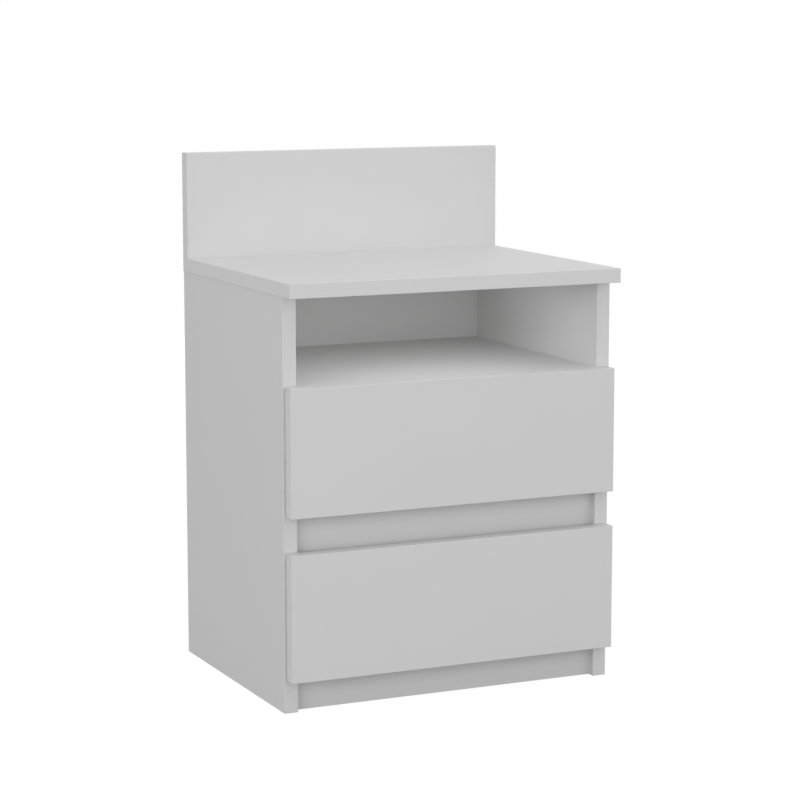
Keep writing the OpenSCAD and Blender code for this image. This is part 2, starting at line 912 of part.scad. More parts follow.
module drawer_front(z) {
    color("whitesmoke") difference() {
        block([-front_half + band_t, front_y, z + band_t],
              [front_half - band_t, front_y + board_t, z + front_h - band_t]);
        groove_cut(z);
        box_cam_places(z) box_cam_holes();
        box_dowel_places(z) dowel_hole(small_dowel_d, small_dowel_l);
    }
}

module drawer_front_bands(z) {
    color("white") {
        both_sides() translate([-front_half, front_y, z + band_t + band_gap])
            band_upright(front_h - 2 * (band_t + band_gap), board_t);
        translate([-front_half, front_y, z + front_h]) band_above(2 * front_half, board_t);
        translate([-front_half, front_y, z]) mirror([0, 0, 1])
            band_above(2 * front_half, board_t);
    }
}

module drawer_side(z) {
    color("whitesmoke") difference() {
        block([-box_half, box_y, z + box_rise],
              [-box_inner_half, box_y + runner_l, z + box_rise + box_h]);
        groove_cut(z);
        box_cam_places(z) box_cam_holes();
        box_dowel_places(z) dowel_hole(small_dowel_d, small_dowel_l);
        box_back_screw_places(z) flush_screw_hole(back_screw_d, back_screw_l, back_screw_head_d);
        box_flange_screw_places(z) flange_screw_hole();
    }
}

module drawer_back(z) {
    color("whitesmoke") difference() {
        block([-box_inner_half, box_back_y, z + groove_z + groove_h],
              [box_inner_half, box_back_y + side_t, z + box_rise + box_h]);
        box_back_screw_places(z) flush_screw_hole(back_screw_d, back_screw_l, back_screw_head_d);
        box_bottom_nail_places(z) shank_hole(nail_d, bottom_nail_l);
    }
}

module drawer_bottom(z) {
    half = box_inner_half + groove_depth - 2 * groove_play;
    low = z + groove_z + groove_play;
    color("gainsboro") difference() {
        block([-half, box_y - groove_depth + 2 * groove_play, low],
              [half, box_y + runner_l, low + hdf_t]);
        box_bottom_nail_places(z) shank_hole(nail_d, bottom_nail_l);
    }
}

// Left drawer member: a flange under the drawer side, a web beside it and the rolling
// flange that rests on the front roller
module drawer_runner(z) {
    half_t = sheet_t / 2;
    notch_y = rear_axle_y + front_gap - rear_r - rear_lead;
    path = [
        [runner_gap + side_t - half_t, -half_t], [web_x + half_t, -half_t],
        [web_x + half_t, flange_top - half_t], [flange_edge + half_t, flange_top - half_t]
    ];
    color("ivory") difference() {
        translate([-inner_half, box_y, z + box_rise]) difference() {
            along_y(runner_l) bent_sheet(path, sheet_t);
            block([0, notch_y, flange_under - eps], [web_x, runner_l + cut, flange_top + cut]);
            web_hole([web_x, rear_axle_y + front_gap, rear_axle_z], rivet_d);
            for (i = [0, 1]) web_slot([web_x, flange_screw_ys[i] + slot_step, web_hole_z]);
        }
        box_flange_screw_places(z) flange_screw_hole();
    }
}

module drawer_runner_screws(z) {
    color("silver") box_flange_screw_places(z)
        pan_screw(wood_screw_d, flange_screw_l, screw_head_d, screw_head_h);
}

module drawer_roller_rivets(z) {
    color("silver") both_sides() rear_roller_place(z)
        rivet(runner_gap, rear_body_x - axle_play, -1);
}

module drawer_cam_locks(z) {
    color("silver") box_cam_places(z) cam_lock(small_cam_d, side_t / 2);
}

module drawer_cam_bolts(z) {
    color("gray") box_cam_places(z)
        cam_bolt(side_t / 2, small_cam_reach, small_bolt_d, small_bolt_head_d, small_bolt_thread_d);
}

module drawer_dowels(z) {
    color("burlywood") box_dowel_places(z) dowel(small_dowel_d, small_dowel_l);
}

module drawer_back_screws(z) {
    color("silver") box_back_screw_places(z)
        flush_screw(back_screw_d, back_screw_l, back_screw_head_d);
}

module drawer_bottom_nails(z) {
    color("silver") box_bottom_nail_places(z) nail(bottom_nail_l);
}

// ---------- nodes ----------

left_side_panel();
right_side_panel();
top_board();
upstand_board();
niche_shelf();
middle_rail();
plinth_board();
rear_stretcher();
back_panel();
carcass_edge_bands();
carcass_cam_locks();
carcass_cam_bolts();
carcass_dowels();
corner_blocks();
corner_block_screws();
back_panel_nails();
upper_left_cabinet_runner();
upper_right_cabinet_runner();
lower_left_cabinet_runner();
lower_right_cabinet_runner();
cabinet_runner_screws();
front_roller_rivets();
upper_left_front_roller();
upper_right_front_roller();
lower_left_front_roller();
lower_right_front_roller();
drawer_front(upper_z);  // upper_drawer_front
drawer_front_bands(upper_z);  // upper_drawer_front_bands
drawer_side(upper_z);  // upper_drawer_left_side
mirror([1, 0, 0]) drawer_side(upper_z);  // upper_drawer_right_side
drawer_back(upper_z);  // upper_drawer_back
drawer_bottom(upper_z);  // upper_drawer_bottom
drawer_runner(upper_z);  // upper_drawer_left_runner
mirror([1, 0, 0]) drawer_runner(upper_z);  // upper_drawer_right_runner
drawer_runner_screws(upper_z);  // upper_drawer_runner_screws
drawer_roller_rivets(upper_z);  // upper_drawer_roller_rivets
drawer_cam_locks(upper_z);  // upper_drawer_cam_locks
drawer_cam_bolts(upper_z);  // upper_drawer_cam_bolts
drawer_dowels(upper_z);  // upper_drawer_dowels
drawer_back_screws(upper_z);  // upper_drawer_back_screws
drawer_bottom_nails(upper_z);  // upper_drawer_bottom_nails
upper_left_rear_roller();
upper_right_rear_roller();
drawer_front(lower_z);  // lower_drawer_front
drawer_front_bands(lower_z);  // lower_drawer_front_bands
drawer_side(lower_z);  // lower_drawer_left_side
mirror([1, 0, 0]) drawer_side(lower_z);  // lower_drawer_right_side
drawer_back(lower_z);  // lower_drawer_back
drawer_bottom(lower_z);  // lower_drawer_bottom
drawer_runner(lower_z);  // lower_drawer_left_runner
mirror([1, 0, 0]) drawer_runner(lower_z);  // lower_drawer_right_runner
drawer_runner_screws(lower_z);  // lower_drawer_runner_screws
drawer_roller_rivets(lower_z);  // lower_drawer_roller_rivets
drawer_cam_locks(lower_z);  // lower_drawer_cam_locks
drawer_cam_bolts(lower_z);  // lower_drawer_cam_bolts
drawer_dowels(lower_z);  // lower_drawer_dowels
drawer_back_screws(lower_z);  // lower_drawer_back_screws
drawer_bottom_nails(lower_z);  // lower_drawer_bottom_nails
lower_left_rear_roller();
lower_right_rear_roller();
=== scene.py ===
# %% [markdown]
# # A white nightstand with two drawers
#
# The real thing is flat-pack furniture: chipboard faced with white melamine, thin plastic
# bands over the edges that show, a hardboard back, and drawers on steel roller runners.
# Its shape comes from the construction model, one mesh for each piece. This lesson gives
# each piece the finish of its real material, models the small turned and cast fittings in
# detail, and lights the whole as in a bright studio.

# %% Load the construction model
import json
import math

import bpy
import numpy as np
from mathutils import Matrix, Vector

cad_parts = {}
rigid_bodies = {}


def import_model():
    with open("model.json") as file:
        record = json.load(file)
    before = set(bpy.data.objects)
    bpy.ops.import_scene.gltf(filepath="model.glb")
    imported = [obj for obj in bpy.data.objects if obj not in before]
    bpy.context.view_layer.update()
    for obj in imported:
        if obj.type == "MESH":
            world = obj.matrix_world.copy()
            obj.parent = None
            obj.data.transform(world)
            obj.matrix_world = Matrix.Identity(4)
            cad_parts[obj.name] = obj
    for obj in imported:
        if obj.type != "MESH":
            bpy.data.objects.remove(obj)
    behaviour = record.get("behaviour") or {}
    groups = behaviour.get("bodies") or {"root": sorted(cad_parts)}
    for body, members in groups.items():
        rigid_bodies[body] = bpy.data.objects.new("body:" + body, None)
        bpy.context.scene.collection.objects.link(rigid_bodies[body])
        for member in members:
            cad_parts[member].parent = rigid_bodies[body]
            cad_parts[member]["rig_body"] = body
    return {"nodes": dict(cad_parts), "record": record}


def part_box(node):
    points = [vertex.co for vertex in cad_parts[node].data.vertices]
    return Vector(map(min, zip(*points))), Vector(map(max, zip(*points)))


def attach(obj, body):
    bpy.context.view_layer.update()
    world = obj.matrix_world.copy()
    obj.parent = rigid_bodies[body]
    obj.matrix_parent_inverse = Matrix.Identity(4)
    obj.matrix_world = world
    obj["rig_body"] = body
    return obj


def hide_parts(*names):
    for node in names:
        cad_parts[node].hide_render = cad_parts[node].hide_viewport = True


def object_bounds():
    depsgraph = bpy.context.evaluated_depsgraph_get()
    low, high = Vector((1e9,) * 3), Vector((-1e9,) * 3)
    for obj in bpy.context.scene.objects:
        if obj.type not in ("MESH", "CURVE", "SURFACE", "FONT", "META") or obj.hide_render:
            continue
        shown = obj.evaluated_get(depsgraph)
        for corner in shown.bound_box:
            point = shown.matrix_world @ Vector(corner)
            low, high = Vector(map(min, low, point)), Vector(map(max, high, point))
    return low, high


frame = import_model()
nodes = frame["nodes"]
cad_low, cad_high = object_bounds()
MM = 0.001

# %% [markdown]
# ## Camera
#
# The view is from the front left and a little above, with a long lens, as for a catalogue.
# A long lens far away keeps the verticals nearly upright without shifting the picture.

# %% Place the camera
EYE = Vector((-1212.6, -2636.4, 757.7)) * MM
LOOK_RIGHT = math.radians(24.78)
LOOK_DOWN = math.radians(8.71)
SENSOR_MM = 36.0
HALF_FIELD = 0.157  # half the width of the view, at a distance of 1

camera_data = bpy.data.cameras.new("camera")
camera_data.sensor_width = SENSOR_MM
camera_data.lens = SENSOR_MM / 2 / HALF_FIELD
camera = bpy.data.objects.new("camera", camera_data)
camera.location = EYE
camera.rotation_euler = (math.pi / 2 - LOOK_DOWN, 0, -LOOK_RIGHT)
bpy.context.scene.collection.objects.link(camera)
bpy.context.scene.camera = camera
print("lens", round(camera_data.lens, 1), "mm at", round(EYE.length, 2), "m")

# %% [markdown]
# ## Small tools
#
# Colours are written as hex values, as a colour picker shows them, and turned to the
# linear values that the shader reads. One function adds any node with its settings and
# links, so that a material reads as a list of what it is made of.


# %% Colours and nodes
def linear(hex_code):
    """A colour such as "#C8C8C8" as the shader's linear red, green, blue and alpha."""
    parts = [int(hex_code[i : i + 2], 16) / 255 for i in (1, 3, 5)]
    light = [c / 12.92 if c <= 0.04045 else ((c + 0.055) / 1.055) ** 2.4 for c in parts]
    return (*light, 1.0)


def add(tree, kind, inputs=None, **settings):
    """Adds a shader node. An input is a value, or the socket of another node to link from."""
    node = tree.nodes.new("ShaderNode" + kind)
    for name, value in settings.items():
        setattr(node, name, value)
    for name, value in (inputs or {}).items():
        if isinstance(value, bpy.types.NodeSocket):
            tree.links.new(value, node.inputs[name])
        else:
            node.inputs[name].default_value = value
    return node


def new_material(name):
    """An empty material with its output node. Returns the material, its tree and the output."""
    material = bpy.data.materials.new(name)
    material.use_nodes = True
    material.node_tree.nodes.clear()
    return material, material.node_tree, add(material.node_tree, "OutputMaterial")


# Sockets of the Mix node that share a name and are told apart by number
COLOUR_A, COLOUR_B, COLOUR_OUT = 6, 7, 2
FLOAT_A, FLOAT_B, FLOAT_OUT = 2, 3, 0
# Sockets of the Map Range node for the lowest and the highest result
LEAST, MOST = 3, 4
print("mid grey #808080 is", round(linear("#808080")[0], 3), "in linear light")

# %% [markdown]
# ## Studio
#
# Pale furniture is lit by a large, soft light from all round, so that its faces differ by a
# few shades only. The sky gives half of that light. Wide soft boxes on all sides give the
# rest: what comes straight from a box reaches into corners that an even sky leaves dark. The
# one behind would glare on the top, so it makes no reflection. Two thin strips close under
# the top, which the camera doesn't see, fill the niche.

# %% Hang the lamps
LAMP_AIM = (0.0, 0.0, 0.3)  # near the middle of the object
STRIP_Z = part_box("top_board")[0].z - 1.5 * MM  # just under the top
# name: place, point that it faces, width, height (metres) and power (watts)
SOFT_BOXES = {
    "front_box": ((-0.4, -3.0, 0.45), LAMP_AIM, 2.4, 0.8, 7.5),
    "left_box": ((-2.6, -1.9, 0.9), LAMP_AIM, 2.0, 1.2, 22.5),
    "right_box": ((1.9, -2.4, 1.0), LAMP_AIM, 2.0, 1.2, 10.5),
    "top_box": ((0.0, -0.5, 2.9), LAMP_AIM, 2.4, 2.4, 16.5),
    "back_box": ((1.6, 2.4, 0.4), LAMP_AIM, 2.4, 0.8, 26.0),
    "niche_rear_strip": ((0.0, 0.02, STRIP_Z), (0.0, 0.02, 0.0), 0.33, 0.16, 0.038),
    "niche_front_strip": ((-0.02, -0.108, STRIP_Z), (-0.02, -0.108, 0.0), 0.29, 0.094, 0.070),
}


def add_soft_box(name, place, target, width, height, power):
    """A rectangular area light that faces a point and that the camera doesn't see."""
    data = bpy.data.lights.new(name, "AREA")
    data.shape = "RECTANGLE"
    data.size, data.size_y, data.energy = width, height, power
    lamp = bpy.data.objects.new(name, data)
    lamp.location = place
    lamp.rotation_euler = (Vector(target) - Vector(place)).to_track_quat("-Z", "Y").to_euler()
    lamp.visible_camera = False
    bpy.context.scene.collection.objects.link(lamp)


for name, settings in SOFT_BOXES.items():
    add_soft_box(name, *settings)
bpy.data.objects["back_box"].visible_glossy = False
print(len(SOFT_BOXES), "lamps:", ", ".join(SOFT_BOXES))

# %% [markdown]
# ## Sky
#
# One surface can have two looks: Light Path tells which kind of ray has hit it. The rays
# that the camera, a reflection or clear plastic sends find a plain white sky, and the rays
# that carry light to the object find a dimmer one.

# %% Make the sky
EVEN_LIGHT = 0.555


def seen_directly(tree):
    """A socket that is 1 for a camera, glossy or transmission ray, and 0 for any other."""
    rays = add(tree, "LightPath").outputs
    direct = add(tree, "Math", {0: rays["Is Camera Ray"], 1: rays["Is Glossy Ray"]},
                 operation="MAXIMUM")
    seen = add(tree, "Math", {0: direct.outputs[0], 1: rays["Is Transmission Ray"]},
               operation="MAXIMUM")
    return seen.outputs[0]


world = bpy.data.worlds.new("studio")
bpy.context.scene.world = world
world.use_nodes = True
tree = world.node_tree
tree.nodes.clear()
strength = add(tree, "Mix", {0: seen_directly(tree), FLOAT_A: EVEN_LIGHT, FLOAT_B: 1.0})
sky = add(tree, "Background", {
    "Color": linear("#FFFFFF"), "Strength": strength.outputs[FLOAT_OUT]})
add(tree, "OutputWorld", {"Surface": sky.outputs[0]})
bpy.context.scene.view_settings.view_transform = "Standard"
print("an even sky of", EVEN_LIGHT)

# %% [markdown]
# ## Floor
#
# The floor is a wide sheet of paint, mid grey to the light that bounces off it, so that it
# doesn't lift the fronts. To the camera and to reflections it is almost plain white, and a
# small share of its real shading is left in, so that a faint shadow sets the object down.

# %% Lay the floor
FLOOR_SIZE = 30.0  # metres
FLOOR_GREY = "#AAAAAA"
SHADOW_SHARE = 0.12
WHITE_GAIN = 1.10  # makes up for the grey in the share, so that open floor is white

bpy.ops.object.select_all(action="DESELECT")
bpy.ops.mesh.primitive_plane_add(size=FLOOR_SIZE, location=(0, 0, cad_low.z))
floor = bpy.context.object
floor.name = "floor"
material, tree, output = new_material("painted_floor")
paint = add(tree, "BsdfDiffuse", {"Color": linear(FLOOR_GREY)})
share = add(tree, "Math", {0: seen_directly(tree), 1: 1 - SHADOW_SHARE}, operation="MULTIPLY")
white = add(tree, "Emission", {"Color": linear("#FFFFFF"), "Strength": WHITE_GAIN})
surface = add(tree, "MixShader", {0: share.outputs[0], 1: paint.outputs[0], 2: white.outputs[0]})
tree.links.new(surface.outputs[0], output.inputs["Surface"])
floor.data.materials.append(material)
print("floor", FLOOR_SIZE, "m wide")

# %% [markdown]
# ## Melamine-faced chipboard
#
# The boards are wood chips pressed with glue, 16 mm thick, with a sheet of white melamine
# paper pressed on each face. The press plate leaves a fine pearl texture, so the face is
# satin and never mirrors. Where no band covers an edge, and inside drilled holes, the raw
# chips show. One material does both: the direction of the surface, measured along the
# board's thickness, tells a face from an edge.

# %% Faces and edges of a board
WHITE_MELAMINE, WHITE_MELAMINE_SHADE = "#DDDDDD", "#DBDBDB"
MELAMINE_ROUGHNESS = 0.55
CLOUD_MM = 120.0  # how far apart the faint light and dark places of a sheet lie
PEARL_MM, PEARL_DEPTH_MM = 1.6, 0.012
CHIP_LIGHT, CHIP_MID, CHIP_DARK = "#CDB083", "#B59468", "#8E6D48"
CHIP_MM, CHIP_DEPTH_MM = 2.4, 0.25
CHIP_FLATNESS = 3.0  # chips are this many times as long as they are thick
DARK_CHIPS_OVER = 0.82  # the chips whose random number is over this are dark
CHIP_ROUGHNESS = 0.9
FACE_LIMIT = 0.7  # a surface that looks this much along an axis, about 45 degrees, is a face


def per_mm(size):
    """Texture scale that gives features of about this size in millimetres."""
    return 1 / (size * MM)


def pearl_face(tree, place):
    """Colour and height of a melamine face. Real pearl grains are 0.3 mm; these are
    drawn five times as coarse, so that they still show."""
    cloud = add(tree, "TexNoise", {"Vector": place, "Scale": per_mm(CLOUD_MM), "Detail": 2.0})
    colour = add(tree, "Mix", {0: cloud.outputs[0], COLOUR_A: linear(WHITE_MELAMINE),
                               COLOUR_B: linear(WHITE_MELAMINE_SHADE)}, data_type="RGBA")
    pearl = add(tree, "TexNoise", {"Vector": place, "Scale": per_mm(PEARL_MM), "Detail": 1.0})
    height = add(tree, "Math", {0: pearl.outputs[0], 1: PEARL_DEPTH_MM}, operation="MULTIPLY")
    return colour.outputs[COLOUR_OUT], height.outputs[0]


def chip_edge(tree, place, axis):
    """Colour and height of raw chipboard. The chips lie flat in the board."""
    stretch = [1.0, 1.0, 1.0]
    stretch["XYZ".index(axis)] = CHIP_FLATNESS
    flat = add(tree, "Mapping", {"Vector": place, "Scale": stretch})
    chips = add(tree, "TexVoronoi", {"Vector": flat.outputs[0], "Scale": per_mm(CHIP_MM)})
    tone = add(tree, "SeparateColor", {0: chips.outputs["Color"]})
    warm = add(tree, "Mix", {0: tone.outputs[0], COLOUR_A: linear(CHIP_LIGHT),
                             COLOUR_B: linear(CHIP_MID)}, data_type="RGBA")
    rare = add(tree, "Math", {0: tone.outputs[1], 1: DARK_CHIPS_OVER}, operation="GREATER_THAN")
    colour = add(tree, "Mix", {0: rare.outputs[0], COLOUR_A: warm.outputs[COLOUR_OUT],
                               COLOUR_B: linear(CHIP_DARK)}, data_type="RGBA")
    height = add(tree, "Math", {0: tone.outputs[2], 1: CHIP_DEPTH_MM}, operation="MULTIPLY")
    return colour.outputs[COLOUR_OUT], height.outputs[0]


print("pearl grains of", PEARL_MM, "mm and chips of", CHIP_MM, "mm")


# %% The board material
def faced_board(axis, papered=False):
    """Chipboard whose faces look along one axis, with melamine on them and raw edges.
    A papered board also has white edging paper, too thin to model, on its upper edge."""
    material, tree, output = new_material(
        "melamine_chipboard_" + axis.lower() + ("_papered" if papered else ""))
    coords = add(tree, "TexCoord")
    normal = add(tree, "SeparateXYZ", {0: coords.outputs["Normal"]})
    along = add(tree, "Math", {0: normal.outputs[axis]}, operation="ABSOLUTE").outputs[0]
    if papered:
        upward = normal.outputs["Z"]
        along = add(tree, "Math", {0: along, 1: upward}, operation="MAXIMUM").outputs[0]
    raw = add(tree, "Math", {0: along, 1: FACE_LIMIT}, operation="LESS_THAN").outputs[0]
    face_colour, face_height = pearl_face(tree, coords.outputs["Object"])
    edge_colour, edge_height = chip_edge(tree, coords.outputs["Object"], axis)
    colour = add(tree, "Mix", {0: raw, COLOUR_A: face_colour, COLOUR_B: edge_colour},
                 data_type="RGBA")
    height = add(tree, "Mix", {0: raw, FLOAT_A: face_height, FLOAT_B: edge_height})
    rough = add(tree, "Mix", {0: raw, FLOAT_A: MELAMINE_ROUGHNESS, FLOAT_B: CHIP_ROUGHNESS})
    relief = add(tree, "Bump", {
        "Height": height.outputs[FLOAT_OUT], "Distance": MM, "Strength": 1.0})
    shader = add(tree, "BsdfPrincipled", {
        "Base Color": colour.outputs[COLOUR_OUT], "Roughness": rough.outputs[FLOAT_OUT],
        "IOR": 1.5, "Normal": relief.outputs[0]})
    tree.links.new(shader.outputs[0], output.inputs["Surface"])
    return material


BOARDS = {axis: faced_board(axis) for axis in "XYZ"}
BOX_BOARDS = {axis: faced_board(axis, papered=True) for axis in "XY"}
print("board materials for", ", ".join(BOARDS))

# %% [markdown]
# ## Edge bands
#
# The bands are extruded ABS, 0.8 mm thick, glued on hot and scraped flush. They match the
# melamine in colour but are smoother, with the shallow waves that the scraper leaves. Their
# long edges are rounded where the scraper ran, and that shape is in the construction model.

# %% The band material
BAND_CLOUD_MM = 60.0
BAND_ROUGHNESS = (0.44, 0.54)
WAVE_MM, WAVE_DEPTH_MM = 3.0, 0.01


def edge_band():
    """Satin ABS with shallow waves, as the scraper leaves them."""
    material, tree, output = new_material("abs_edge_band")
    place = add(tree, "TexCoord").outputs["Object"]
    cloud = add(tree, "TexNoise", {
        "Vector": place, "Scale": per_mm(BAND_CLOUD_MM), "Detail": 2.0})
    colour = add(tree, "Mix", {0: cloud.outputs[0], COLOUR_A: linear(WHITE_MELAMINE),
                               COLOUR_B: linear(WHITE_MELAMINE_SHADE)}, data_type="RGBA")
    least, most = BAND_ROUGHNESS
    rough = add(tree, "MapRange", {0: cloud.outputs[0], LEAST: least, MOST: most})
    wave = add(tree, "TexNoise", {"Vector": place, "Scale": per_mm(WAVE_MM), "Detail": 0.0})
    relief = add(tree, "Bump", {
        "Height": wave.outputs[0], "Distance": WAVE_DEPTH_MM * MM, "Strength": 1.0})
    shader = add(tree, "BsdfPrincipled", {
        "Base Color": colour.outputs[COLOUR_OUT], "Roughness": rough.outputs[0], "IOR": 1.53,
        "Normal": relief.outputs[0]})
    tree.links.new(shader.outputs[0], output.inputs["Surface"])
    return material


BAND = edge_band()
print("band material", BAND.name)

# %% [markdown]
# ## Hardboard
#
# The back and the drawer bottoms are 3 mm hardboard: wood fibres pressed so hard that they
# look like brown card. One face is rolled with thin white paint, and it goes where people
# look. The other face and the edges stay brown. Again the surface's direction decides.

# %% The hardboard material
WHITE_PAINT, FIBRE_DARK, FIBRE_LIGHT = "#DADADA", "#7E5F42", "#A5845F"
PAINT_ROUGHNESS, FIBRE_ROUGHNESS = 0.5, 0.75
FIBRE_MM, FIBRE_DEPTH_MM = 4.0, 0.03


def hardboard(axis, painted_side):
    """Hardboard, painted on the face that looks to painted_side (1 or -1) of the axis."""
    material, tree, output = new_material("painted_hardboard_" + axis.lower())
    coords = add(tree, "TexCoord")
    place = coords.outputs["Object"]
    normal = add(tree, "SeparateXYZ", {0: coords.outputs["Normal"]})
    toward = add(tree, "Math", {0: normal.outputs[axis], 1: painted_side}, operation="MULTIPLY")
    raw = add(tree, "Math", {0: toward.outputs[0], 1: FACE_LIMIT}, operation="LESS_THAN").outputs[0]
    fibre = add(tree, "TexNoise", {"Vector": place, "Scale": per_mm(FIBRE_MM), "Detail": 6.0,
                                   "Roughness": 0.7})
    brown = add(tree, "Mix", {0: fibre.outputs[0], COLOUR_A: linear(FIBRE_DARK),
                              COLOUR_B: linear(FIBRE_LIGHT)}, data_type="RGBA")
    colour = add(tree, "Mix", {0: raw, COLOUR_A: linear(WHITE_PAINT),
                               COLOUR_B: brown.outputs[COLOUR_OUT]}, data_type="RGBA")
    rough = add(tree, "Mix", {0: raw, FLOAT_A: PAINT_ROUGHNESS, FLOAT_B: FIBRE_ROUGHNESS})
    relief = add(tree, "Bump", {
        "Height": fibre.outputs[0], "Distance": FIBRE_DEPTH_MM * MM, "Strength": 1.0})
    shader = add(tree, "BsdfPrincipled", {
        "Base Color": colour.outputs[COLOUR_OUT], "Roughness": rough.outputs[FLOAT_OUT],
        "IOR": 1.5, "Normal": relief.outputs[0]})
    tree.links.new(shader.outputs[0], output.inputs["Surface"])
    return material


BACK = hardboard("Y", painted_side=-1)
BOTTOM = hardboard("Z", painted_side=1)
print("hardboard materials", BACK.name, "and", BOTTOM.name)

# %% [markdown]
# ## Coated steel
#
# The runners are bent from sheet steel and powder coated. The powder melts into a satin
# skin with a soft orange peel, about 2 mm from crest to crest.

# %% The runner material
POWDER_LIGHT, POWDER_DARK = "#DCDAD3", "#D5D3CC"
POWDER_ROUGHNESS = (0.32, 0.48)
PEEL_MM, PEEL_DEPTH_MM = 2.0, 0.05
DUST_MM = 30.0


def coated_steel():
    """Off-white powder coating on steel."""
    material, tree, output = new_material("powder_coated_steel")
    place = add(tree, "TexCoord").outputs["Object"]
    peel = add(tree, "TexNoise", {"Vector": place, "Scale": per_mm(PEEL_MM), "Detail": 1.0})
    dust = add(tree, "TexNoise", {"Vector": place, "Scale": per_mm(DUST_MM), "Detail": 3.0})
    colour = add(tree, "Mix", {0: dust.outputs[0], COLOUR_A: linear(POWDER_LIGHT),
                               COLOUR_B: linear(POWDER_DARK)}, data_type="RGBA")
    least, most = POWDER_ROUGHNESS
    rough = add(tree, "MapRange", {0: dust.outputs[0], LEAST: least, MOST: most})
    relief = add(tree, "Bump", {
        "Height": peel.outputs[0], "Distance": PEEL_DEPTH_MM * MM, "Strength": 1.0})
    shader = add(tree, "BsdfPrincipled", {
        "Base Color": colour.outputs[COLOUR_OUT], "Roughness": rough.outputs[0], "IOR": 1.5,
        "Coat Weight": 0.2, "Coat Roughness": 0.25, "Normal": relief.outputs[0]})
    tree.links.new(shader.outputs[0], output.inputs["Surface"])
    return material


RUNNER = coated_steel()
print("runner material", RUNNER.name)

# %% [markdown]
# ## Zinc
#
# Screws, nails and rivets are steel with a bright zinc plating. The cam locks are cast in
# zinc and tumbled, which leaves them dull. Both are a metal whose tone and gloss vary in
# spots, so one function makes them, with other tones and another size of spot.

# %% The metals
SPOT_DEPTH_MM = 0.02


def metal(name, light, dark, roughness, spot_mm):
    """Bare metal whose tone and gloss vary in spots. Roughness is the least and the most."""
    material, tree, output = new_material(name)
    place = add(tree, "TexCoord").outputs["Object"]
    spots = add(tree, "TexNoise", {"Vector": place, "Scale": per_mm(spot_mm), "Detail": 3.0})
    colour = add(tree, "Mix", {0: spots.outputs[0], COLOUR_A: linear(light),
                               COLOUR_B: linear(dark)}, data_type="RGBA")
    least, most = roughness
    rough = add(tree, "MapRange", {0: spots.outputs[0], LEAST: least, MOST: most})
    relief = add(tree, "Bump", {
        "Height": spots.outputs[0], "Distance": SPOT_DEPTH_MM * MM, "Strength": 1.0})
    shader = add(tree, "BsdfPrincipled", {
        "Base Color": colour.outputs[COLOUR_OUT], "Roughness": rough.outputs[0], "Metallic": 1.0,
        "Normal": relief.outputs[0]})
    tree.links.new(shader.outputs[0], output.inputs["Surface"])
    return material


ZINC_PLATE = metal("zinc_plated_steel", light="#C9CCD0", dark="#A9ADB3",
                   roughness=(0.24, 0.38), spot_mm=3.0)
ZINC_CAST = metal("tumbled_zinc", light="#B4B6B8", dark="#8E9092",
                  roughness=(0.40, 0.54), spot_mm=1.5)
print("metals", ZINC_PLATE.name, "and", ZINC_CAST.name)

# %% [markdown]
# ## Moulded plastic
#
# The rollers are natural nylon, a milky white that lets a little light in. The corner blocks
# are polypropylene, which is milky too. Subsurface scattering gives that look: light goes in,
# spreads by a millimetre or so and comes out again, so that small edges glow softly.

# %% The plastics
# The real grain is about 0.1 mm. It is drawn coarser, so that it still shows.
MOULD_GRAIN_MM, MOULD_GRAIN_DEPTH_MM = 0.8, 0.02


def moulded_plastic(name, hex_code, roughness, depth_mm, ior):
    """Milky plastic that scatters light to a depth, with the fine grain of its mould."""
    material, tree, output = new_material(name)
    place = add(tree, "TexCoord").outputs["Object"]
    grain = add(tree, "TexNoise", {
        "Vector": place, "Scale": per_mm(MOULD_GRAIN_MM), "Detail": 1.0})
    least, most = roughness
    rough = add(tree, "MapRange", {0: grain.outputs[0], LEAST: least, MOST: most})
    relief = add(tree, "Bump", {
        "Height": grain.outputs[0], "Distance": MOULD_GRAIN_DEPTH_MM * MM, "Strength": 1.0})
    shader = add(tree, "BsdfPrincipled", {
        "Base Color": linear(hex_code), "Roughness": rough.outputs[0], "IOR": ior,
        "Subsurface Weight": 0.3, "Subsurface Radius": (1.0, 1.0, 1.0),
        "Subsurface Scale": depth_mm * MM, "Normal": relief.outputs[0]})
    tree.links.new(shader.outputs[0], output.inputs["Surface"])
    return material


NYLON = moulded_plastic("natural_nylon", "#D2D2CC", roughness=(0.37, 0.47), depth_mm=1.5,
                        ior=1.53)
BLOCK = moulded_plastic("moulded_polypropylene", "#CFCFCD", roughness=(0.40, 0.50),
                        depth_mm=1.0, ior=1.49)
print("plastics", NYLON.name, "and", BLOCK.name)

# %% [markdown]
# ## Beech
#
# The dowels are turned beech, whose short dark pores run along the grain. A noise pattern
# that is stretched along the grain makes such pores.

# %% The wood
BEECH_PORE, BEECH_WOOD = "#9C7349", "#D8B384"
# Real pores are about 0.1 mm wide. They are drawn coarser, so that they still show.
PORE_MM, PORE_DEPTH_MM = 0.6, 0.05
PORE_STRETCH = 0.15  # a pore is about seven times as long as it is wide


